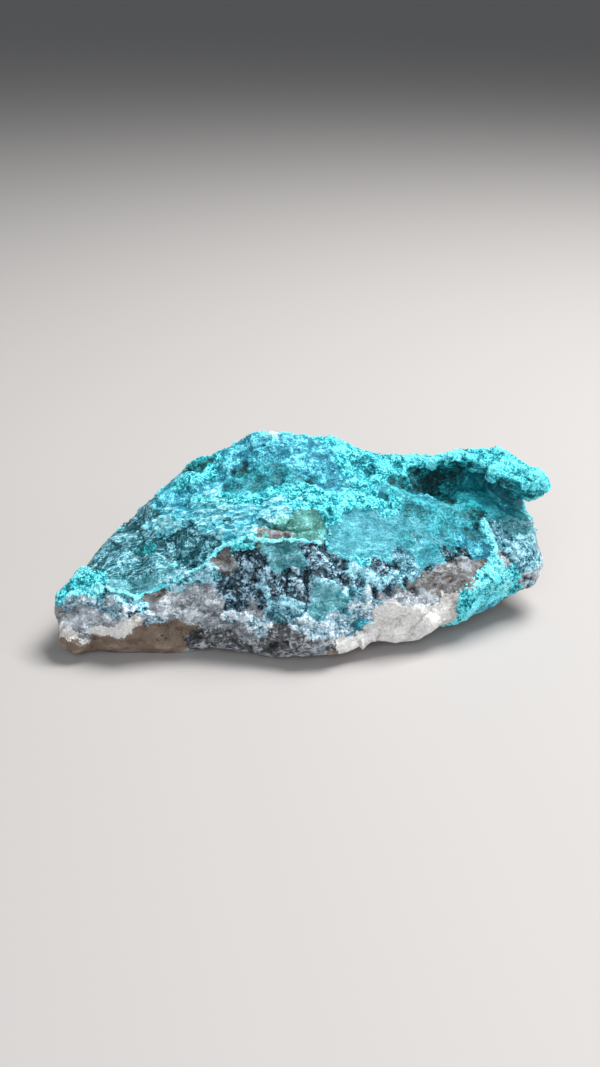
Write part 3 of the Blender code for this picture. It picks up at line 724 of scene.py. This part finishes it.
def crystal_shape(tree, given):
    """A six-sided prism with a pointed end, one unit wide."""
    prism = add(tree, "GeometryNodeMeshCylinder", {"Vertices": 6, "Radius": 0.5, "Depth": given["Prism Height"]},
                fill_type="NGON")
    drawn = add(tree, "GeometryNodeExtrudeMesh", {"Mesh": prism.outputs["Mesh"], "Selection": prism.outputs["Top"],
                                                  "Offset Scale": given["Point Height"]})
    point = add(tree, "GeometryNodeScaleElements", {"Geometry": drawn.outputs["Mesh"],
                                                    "Selection": drawn.outputs["Top"], "Scale": 0.0})
    return add(tree, "GeometryNodeMergeByDistance", {"Geometry": point.outputs[0], "Distance": 0.01}).outputs[0]


def bead_shape(tree, given):
    """A round bead of a few flats, one unit wide."""
    return add(tree, "GeometryNodeMeshIcoSphere", {"Radius": 0.5, "Subdivisions": 1}).outputs["Mesh"]


def build_scatter(name, shape):
    tree = bpy.data.node_groups.new(name, "GeometryNodeTree")
    tree_input(tree, "Skin", "NodeSocketGeometry")
    for label, value in (("Spacing", 0.0005), ("Most per Square Metre", 4e6), ("Smallest", 0.0003),
                         ("Largest", 0.0008), ("Lean", 0.6), ("Sunk", 0.3), ("Prism Height", 1.0),
                         ("Point Height", 0.5)):
        tree_input(tree, label, "NodeSocketFloat", value)
    tree_input(tree, "Seed", "NodeSocketInt", 1)
    tree_input(tree, "Finish", "NodeSocketMaterial")
    tree.interface.new_socket("Pieces", in_out="OUTPUT", socket_type="NodeSocketGeometry")
    given = tree.nodes.new("NodeGroupInput").outputs
    wanted = tree.nodes.new("NodeGroupOutput").inputs
    growth = add(tree, "GeometryNodeInputNamedAttribute", {"Name": name}, data_type="FLOAT").outputs["Attribute"]
    spots = add(tree, "GeometryNodeDistributePointsOnFaces",
                {"Mesh": given["Skin"], "Distance Min": given["Spacing"], "Seed": given["Seed"],
                 "Density Max": given["Most per Square Metre"], "Density Factor": growth},
                distribute_method="POISSON")
    lean = add(tree, "FunctionNodeRandomValue", {"Min": (-1, -1, -3.1), "Max": (1, 1, 3.1), "Seed": given["Seed"]},
               data_type="FLOAT_VECTOR")
    scaled = add(tree, "ShaderNodeVectorMath", {0: lean.outputs[0], "Scale": given["Lean"]}, operation="SCALE")
    turned = add(tree, "FunctionNodeRotateRotation", {"Rotation": spots.outputs["Rotation"],
                                                      "Rotate By": scaled.outputs[0]}, rotation_space="LOCAL")
    size = add(tree, "FunctionNodeRandomValue", {2: given["Smallest"], 3: given["Largest"], "Seed": given["Seed"]},
               data_type="FLOAT").outputs[1]
    placed = add(tree, "GeometryNodeInstanceOnPoints",
                 {"Points": spots.outputs["Points"], "Instance": shape(tree, given),
                  "Rotation": turned.outputs[0], "Scale": size})
    real = add(tree, "GeometryNodeRealizeInstances", {"Geometry": placed.outputs[0]})
    dressed = add(tree, "GeometryNodeSetMaterial", {"Geometry": real.outputs[0], "Material": given["Finish"]})
    tree.links.new(dressed.outputs[0], wanted[0])
    return tree


def scatter(name, shape, growth, finish, **sizes):
    """Scatters a shape over the skin as thickly as growth says and returns the pieces as one plain mesh object."""
    keep(skin.data, name, growth)
    obj = bpy.data.objects.new(name, skin.data)
    bpy.context.scene.collection.objects.link(obj)
    modifier = obj.modifiers.new("scatter", "NODES")
    modifier.node_group = build_scatter(name, shape)
    values = {label.replace("_", " ").title(): value for label, value in sizes.items()}
    values["Finish"] = finish
    for item in modifier.node_group.interface.items_tree:
        if item.in_out == "INPUT" and item.name in values:
            modifier[item.identifier] = values[item.name]
    return settle(obj, name)


print("shapes to scatter:", crystal_shape.__doc__, bead_shape.__doc__)

# %% [markdown]
# ## Patterns in the stone
# The same few patterns run through all the minerals: clouds, mottling, grain, crystal chips, silky streaks and
# thin healed cracks. They are built once as a node group that reads millimetres on the stone, and every material
# takes from it what it needs.

# %% Build the patterns
PATTERNS = ["Clouds", "Patches", "Mottle", "Grain", "Crumbs", "Chips", "Shards", "Tilted", "Lace", "Threads",
            "Streaks", "Cracks", "Specks"]


def build_patterns():
    tree, given, wanted = new_group("stone_patterns", {"Place": "place"}, {name: "value" for name in PATTERNS})

    def spread(place, scale, detail, rough, low, high, distortion=0.0):
        inputs = {"Vector": place, "Scale": scale, "Detail": detail, "Roughness": rough, "Distortion": distortion}
        return clamp_map(tree, add(tree, "ShaderNodeTexNoise", inputs).outputs[0], low, high)

    place = given["Place"]
    made = {
        "Clouds": spread(place, 0.17, 3, 0.5, 0.3, 0.7),
        "Patches": spread(place, 0.45, 3, 0.5, 0.35, 0.65, 0.5),
        "Mottle": spread(place, 0.95, 4, 0.5, 0.32, 0.68, 0.4),
        "Grain": spread(place, 3.4, 2, 0.6, 0.34, 0.66),
    }
    web = add(tree, "ShaderNodeTexNoise", {"Vector": place, "Scale": 0.6, "Detail": 3}).outputs["Color"]
    crooked = add(tree, "ShaderNodeVectorMath", {0: web, 1: (1.2, 1.2, 1.2), 2: place}, operation="MULTIPLY_ADD")
    tilts = []
    for name, scale in (("Crumbs", 4.2), ("Chips", 2.0), ("Shards", 0.8)):
        cells = add(tree, "ShaderNodeTexVoronoi", {"Vector": crooked.outputs[0], "Scale": scale}).outputs
        made[name] = add(tree, "ShaderNodeSeparateColor", {0: cells["Color"]}).outputs[0]
        away = add(tree, "ShaderNodeVectorMath", {0: crooked.outputs[0], 1: cells["Position"]}, operation="SUBTRACT")
        lean = add(tree, "ShaderNodeVectorMath", {0: cells["Color"], 1: (0.5, 0.5, 0.5)}, operation="SUBTRACT")
        tilts.append(add(tree, "ShaderNodeVectorMath", {0: away.outputs[0], 1: lean.outputs[0]},
                         operation="DOT_PRODUCT").outputs[1])
    made["Tilted"] = calc(tree, "ADD", calc(tree, "ADD", *tilts[:2]), tilts[2])
    web = add(tree, "ShaderNodeTexNoise", {"Vector": place, "Scale": 0.5, "Detail": 5, "Roughness": 0.6,
                                           "Distortion": 0.8}).outputs[0]
    made["Lace"] = clamp_map(tree, calc(tree, "ABSOLUTE", calc(tree, "SUBTRACT", web, 0.5)), 0.0, 0.022, 1.0, 0.0)
    along = add(tree, "ShaderNodeMapping", {"Vector": crooked.outputs[0], "Rotation": (0, math.radians(-14), 0.1),
                                            "Scale": (6.0, 0.42, 0.42)}, vector_type="TEXTURE").outputs[0]
    made["Streaks"] = spread(along, 1.0, 3, 0.6, 0.38, 0.62)
    web = add(tree, "ShaderNodeTexNoise", {"Vector": along, "Scale": 0.55, "Detail": 3}).outputs[0]
    made["Threads"] = clamp_map(tree, calc(tree, "ABSOLUTE", calc(tree, "SUBTRACT", web, 0.5)), 0.0, 0.035, 1.0, 0.0)
    wander = add(tree, "ShaderNodeTexNoise", {"Vector": place, "Scale": 0.7, "Detail": 3}).outputs["Color"]
    bent = add(tree, "ShaderNodeVectorMath", {0: wander, 1: (2.4, 2.4, 2.4), 2: place}, operation="MULTIPLY_ADD")
    long = add(tree, "ShaderNodeMapping", {"Vector": bent.outputs[0], "Rotation": (0, 0.24, 0.2),
                                           "Scale": (0.5, 1.0, 1.0)}).outputs[0]
    lines = add(tree, "ShaderNodeTexVoronoi", {"Vector": long, "Scale": 0.55}, feature="DISTANCE_TO_EDGE")
    made["Cracks"] = clamp_map(tree, lines.outputs["Distance"], 0.0, 0.05, 1.0, 0.0)
    dots = add(tree, "ShaderNodeTexVoronoi", {"Vector": place, "Scale": 1.25})
    made["Specks"] = clamp_map(tree, dots.outputs["Distance"], 0.12, 0.26, 1.0, 0.0)
    for name, value in made.items():
        tree.links.new(value, wanted[name])
    return tree


patterns = build_patterns()
print("patterns:", [socket.name for socket in patterns.interface.items_tree if socket.in_out == "OUTPUT"])

# %% [markdown]
# ## Three tones and a ragged border
# A mineral is never one colour. Each has a dark, a middle and a light tone, and a tone value from the patterns
# runs between them. Where two minerals meet, the border is broken up by the grain.

# %% Build the tone group and the layer group
def build_tones():
    tree, given, wanted = new_group(
        "three_tones", {"Tone": "value", "Dark": "colour", "Middle": "colour", "Light": "colour"}, {"Colour": "colour"})
    lower = clamp_map(tree, given["Tone"], 0.0, 0.5)
    upper = clamp_map(tree, given["Tone"], 0.5, 1.0)
    mixed = blend(tree, upper, blend(tree, lower, given["Dark"], given["Middle"]), given["Light"])
    tree.links.new(mixed, wanted["Colour"])
    return tree


def build_layer():
    tree, given, wanted = new_group(
        "mineral_layer",
        {"Share": "value", "Shares Below": "value", "Ragged": "value", "Under": "colour", "Over": "colour",
         "Under Rough": "value", "Over Rough": "value", "Under Bump": "value", "Over Bump": "value"},
        {"Colour": "colour", "Rough": "value", "Bump": "value", "Shares": "value"})
    total = calc(tree, "ADD", given["Share"], given["Shares Below"])
    part = calc(tree, "DIVIDE", given["Share"], calc(tree, "MAXIMUM", total, 0.001))
    edge = calc(tree, "MULTIPLY_ADD", calc(tree, "SUBTRACT", given["Ragged"], 0.5), 0.7, part)
    mask = clamp_map(tree, edge, 0.4, 0.6)
    tree.links.new(blend(tree, mask, given["Under"], given["Over"]), wanted["Colour"])
    for name in ("Rough", "Bump"):
        change = calc(tree, "SUBTRACT", given["Over " + name], given["Under " + name])
        tree.links.new(calc(tree, "MULTIPLY_ADD", change, mask, given["Under " + name]), wanted[name])
    tree.links.new(total, wanted["Shares"])
    return tree


three_tones = build_tones()
mineral_layer = build_layer()
print("groups:", [group.name for group in bpy.data.node_groups])

# %% [markdown]
# ## The colour of each mineral
# Copper silicate runs from dark teal through turquoise to an almost white blue where it is finely powdered;
# the near-black teal in the cave and the holes is painted shade. Quartz is grey-blue and clear enough to look dark
# inside. The table gives each mineral's tones in linear light, how much each pattern moves its tone, its roughness
# and the depth of its fine bumps; the edge and hollow amounts paint light onto raised points and shade into hollows.

# %% List the finishes
FINISH = {
    "quartz": (((0.008, 0.065, 0.095), (0.105, 0.35, 0.46), (0.48, 0.86, 1.0)),
               dict(Patches=0.25, Chips=0.45, Shards=0.25, Crumbs=0.75, Grain=0.12, Lace=0.3, edge=0.6, hollow=-0.4), 0.2, 0.15),
    "pale": (((0.12, 0.13, 0.145), (0.29, 0.33, 0.37), (0.66, 0.73, 0.79)),
             dict(Patches=0.25, Mottle=0.1, Chips=0.35, Shards=0.35, Crumbs=0.45, Grain=0.1, Lace=-0.3, Threads=0.35,
                  edge=0.4, hollow=-0.4), 0.26, 0.15),
    "mottle": (((0.014, 0.014, 0.015), (0.085, 0.088, 0.095), (0.40, 0.44, 0.48)),
               dict(Patches=0.4, Mottle=0.35, Chips=0.35, Crumbs=0.45, Grain=0.15, Threads=0.3, edge=0.3, hollow=-0.4), 0.4, 0.3),
    "tan": (((0.05, 0.035, 0.026), (0.165, 0.12, 0.09), (0.32, 0.25, 0.20)),
            dict(Clouds=0.25, Patches=0.35, Mottle=0.2, Grain=0.2, Specks=-0.1, hollow=-0.3), 0.6, 0.3),
    "iron": (((0.045, 0.036, 0.034), (0.155, 0.15, 0.15), (0.32, 0.37, 0.41)),
             dict(Patches=0.4, Mottle=0.2, Shards=0.25, Streaks=0.3, Threads=0.3, Grain=0.25, edge=0.3, hollow=-0.3), 0.4, 0.3),
    "cream": (((0.42, 0.385, 0.35), (0.69, 0.685, 0.67), (0.84, 0.84, 0.83)),
              dict(Clouds=0.3, Patches=0.3, Shards=0.3, Grain=0.25, Crumbs=0.15, Cracks=-0.25, edge=0.2, hollow=-0.2), 0.34, 0.25),
    "sugar": (((0.05, 0.13, 0.18), (0.29, 0.49, 0.62), (0.86, 0.95, 1.0)),
              dict(Patches=0.2, Mottle=0.2, Chips=0.5, Crumbs=0.75, Grain=0.15, edge=0.4, hollow=-0.4), 0.24, 0.2),
    "dark": (((0.004, 0.008, 0.014), (0.03, 0.085, 0.125), (0.42, 0.68, 0.84)),
             dict(Patches=0.25, Chips=0.35, Crumbs=0.8, Shards=0.2, Grain=0.12, edge=0.5, hollow=-0.25), 0.14, 0.2),
    "moss": (((0.05, 0.20, 0.17), (0.11, 0.37, 0.34), (0.26, 0.74, 0.72)),
             dict(Clouds=0.35, Patches=0.35, Grain=0.25, Lace=0.4, Shards=0.2, edge=0.4, hollow=-0.3), 0.22, 0.3),
    "glass": (((0.004, 0.07, 0.09), (0.036, 0.205, 0.26), (0.36, 0.78, 0.92)),
              dict(Clouds=0.2, Patches=0.3, Mottle=0.1, Grain=0.1, Crumbs=0.2, Shards=0.25, Lace=0.8, Threads=0.55, edge=0.5,
                   hollow=-0.25), 0.14, 0.12),
    "jade": (((0.02, 0.16, 0.19), (0.10, 0.36, 0.43), (0.34, 0.76, 0.86)),
             dict(Clouds=0.25, Patches=0.3, Mottle=0.1, Grain=0.15, Crumbs=0.3, Shards=0.2, Lace=0.45, Threads=0.35,
                  edge=0.4, hollow=-0.3), 0.24, 0.15),
    "silk": (((0.012, 0.20, 0.265), (0.052, 0.33, 0.415), (0.16, 0.62, 0.74)),
             dict(Clouds=0.2, Patches=0.2, Streaks=0.3, Grain=0.3, Crumbs=0.4, Lace=0.2, edge=0.3, hollow=-0.4), 0.4, 0.5),
    "streak": (((0.015, 0.28, 0.38), (0.125, 0.60, 0.76), (0.54, 0.96, 1.0)),
               dict(Patches=0.25, Mottle=0.15, Streaks=0.6, Threads=0.8, Grain=0.35, Lace=0.3, edge=0.4, hollow=-0.3), 0.38, 0.5),
    "teal": (((0.002, 0.14, 0.21), (0.022, 0.29, 0.41), (0.20, 0.79, 0.95)),
             dict(Clouds=0.3, Patches=0.3, Mottle=0.25, Chips=0.35, Shards=0.2, Crumbs=0.15, Grain=0.45, Lace=0.5,
                  Threads=0.4, edge=0.5, hollow=-0.6), 0.46, 0.7),
    "crust": (((0.0, 0.13, 0.165), (0.016, 0.47, 0.585), (0.21, 0.92, 0.98)),
              dict(Clouds=0.45, Patches=0.5, Mottle=0.4, Grain=0.8, Crumbs=0.8, edge=0.5, hollow=-0.75), 0.72, 1.3),
    "powder": (((0.015, 0.24, 0.31), (0.11, 0.74, 0.87), (0.36, 0.98, 1.0)),
               dict(Clouds=0.3, Patches=0.5, Mottle=0.4, Grain=0.8, Crumbs=0.8, edge=0.5, hollow=-0.6), 0.76, 1.3),
    "vein": (((0.03, 0.46, 0.56), (0.17, 0.84, 0.94), (0.42, 0.98, 1.0)),
             dict(Mottle=0.3, Grain=0.4, edge=0.4), 0.7, 0.8),
    # Smooth glass painted dark: its low, even tones stand in for the shade at the cave's side.
    "painted_shade_pool": (((0.004, 0.15, 0.19), (0.009, 0.25, 0.31), (0.04, 0.42, 0.50)),
             dict(Clouds=0.3, Patches=0.2, Grain=0.2, edge=0.4), 0.28, 0.2),
    # Dark teal, used for real dark bands and as painted shade under the rim and in the pit.
    "deep_and_painted_shade": (((0.001, 0.075, 0.095), (0.008, 0.20, 0.25), (0.055, 0.45, 0.54)),
             dict(Patches=0.3, Mottle=0.3, Streaks=0.25, Grain=0.5, Crumbs=0.25, edge=0.4, hollow=-0.4), 0.5, 0.6),
    # Painted shade: the near-black teal that stands in for the shade in the cave, under the rim and in the holes.
    "painted_shade": (((0.0, 0.02, 0.024), (0.0, 0.11, 0.13), (0.02, 0.46, 0.54)),
              dict(Patches=0.4, Mottle=0.4, Grain=0.5, edge=0.5, hollow=-0.3), 0.7, 0.8),
}


# The usual value of the patterns that are mostly dark; the others lie about a half.
RESTING = {"Lace": 0.15, "Threads": 0.2, "Cracks": 0.15, "Specks": 0.1}


def toned(tree, fields, amounts, tones):
    """The colour of one mineral: the patterns move its tone, and the tone picks its colour."""
    tone = 0.5
    for name, amount in amounts.items():
        swing = calc(tree, "SUBTRACT", fields[name], RESTING.get(name, 0.5))
        tone = calc(tree, "MULTIPLY_ADD", swing, amount, tone)
    group = add(tree, "ShaderNodeGroup", node_tree=three_tones)
    tree.links.new(tone, group.inputs["Tone"])
    for name, colour in zip(("Dark", "Middle", "Light"), tones):
        group.inputs[name].default_value = (*colour, 1)
    return group.outputs["Colour"]


def value_of(tree, name):
    return add(tree, "ShaderNodeAttribute", attribute_name=name).outputs["Fac"]


def build_stone():
    """The stone's material: the minerals laid over each other by their shares of the skin."""
    material = bpy.data.materials.new("chrysocolla_stone_skin")
    material.use_nodes = True
    tree = material.node_tree
    shader = tree.nodes["Principled BSDF"]
    metres = add(tree, "ShaderNodeTexCoord").outputs["Object"]
    place = add(tree, "ShaderNodeVectorMath", {0: metres, "Scale": 1000.0}, operation="SCALE").outputs[0]
    group = add(tree, "ShaderNodeGroup", node_tree=patterns)
    tree.links.new(place, group.inputs["Place"])
    fields = {name: group.outputs[name] for name in PATTERNS}
    # The edge and hollow values paint light onto raised points and shade into hollows.
    fields.update(edge=value_of(tree, "edge"), hollow=value_of(tree, "hollow"))
    ragged = calc(tree, "MULTIPLY_ADD", fields["Grain"], 0.6, calc(tree, "MULTIPLY", fields["Mottle"], 0.4))
    colour = rough = bump = below = None
    for mineral, (tones, amounts, roughness, bumps) in FINISH.items():
        over = toned(tree, fields, amounts, tones)
        if colour is None:
            colour, rough, bump, below = over, roughness, bumps, value_of(tree, mineral)
            continue
        inputs = {"Share": value_of(tree, mineral), "Shares Below": below, "Ragged": ragged, "Under": colour,
                  "Over": over, "Under Rough": rough, "Over Rough": roughness, "Under Bump": bump,
                  "Over Bump": bumps}
        layer = add(tree, "ShaderNodeGroup", node_tree=mineral_layer)
        for name, value in inputs.items():
            if isinstance(value, bpy.types.NodeSocket):
                tree.links.new(value, layer.inputs[name])
            else:
                layer.inputs[name].default_value = value
        colour, rough, bump, below = (layer.outputs[name] for name in ("Colour", "Rough", "Bump", "Shares"))
    tree.links.new(colour, shader.inputs["Base Color"])
    tree.links.new(rough, shader.inputs["Roughness"])
    shader.inputs["Specular IOR Level"].default_value = 0.3
    depth = calc(tree, "MULTIPLY", calc(tree, "MULTIPLY", fields["Grain"], 0.11), bump)
    glassy = clamp_map(tree, rough, 0.2, 0.5, 0.9, 0.1)
    depth = calc(tree, "MULTIPLY_ADD", fields["Tilted"], glassy, depth)
    bumped = add(tree, "ShaderNodeBump", {"Strength": 1.0, "Distance": MM, "Height": depth})
    tree.links.new(bumped.outputs[0], shader.inputs["Normal"])
    return material


stone = build_stone()
print("stone material:", len(stone.node_tree.nodes), "nodes")

# %% Grow the points and beads
CLEAR_OF_BOX = 0.9


def growth_of(**amounts):
    """How thickly something grows at each point: by mineral, none near the ends of the solid's box or the sole."""
    amount = sum(shares[:, MINERALS.index(mineral)] * value for mineral, value in amounts.items())
    room = np.minimum(points - np.array(cad_low) / MM, np.array(cad_high) / MM - points).min(axis=1)
    return np.clip(amount, 0, 1) * np.clip((room - CLEAR_OF_BOX) * 4, 0, 1)


points_of_quartz = scatter(
    "quartz_points", crystal_shape, growth_of(sugar=0.6, quartz=0.12, dark=0.3, mottle=0.05, iron=0.05),
    stone, spacing=0.55 * MM, smallest=0.2 * MM, largest=0.45 * MM, lean=1.0, seed=5)
crust_beads = scatter(
    "crust_beads", bead_shape, growth_of(crust=0.35, powder=0.35, vein=0.6, teal=0.06, streak=0.04),
    stone, spacing=0.42 * MM, smallest=0.18 * MM, largest=0.38 * MM, lean=1.0, seed=8)
crust_beads.data.shade_smooth()
for piece in (points_of_quartz, crust_beads):
    places = read(piece.data, "co")
    print(piece.name, len(piece.data.polygons), "faces, from", places.min(axis=0).round(1), "to", places.max(axis=0).round(1))
    write(piece.data, within_box(places))

# %% [markdown]
# ## Finish
# The skin, the crystal points and the beads are one stone, so all three ride on its one body and stand for its
# one solid. All three are moved inside the solid's box, so the dressed stone is no bigger than the solid.

# %% Put the stone together
skin.data.materials.clear()
skin.data.materials.append(stone)
for piece in (skin, points_of_quartz, crust_beads):
    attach(piece, "root")
    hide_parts(NODE)
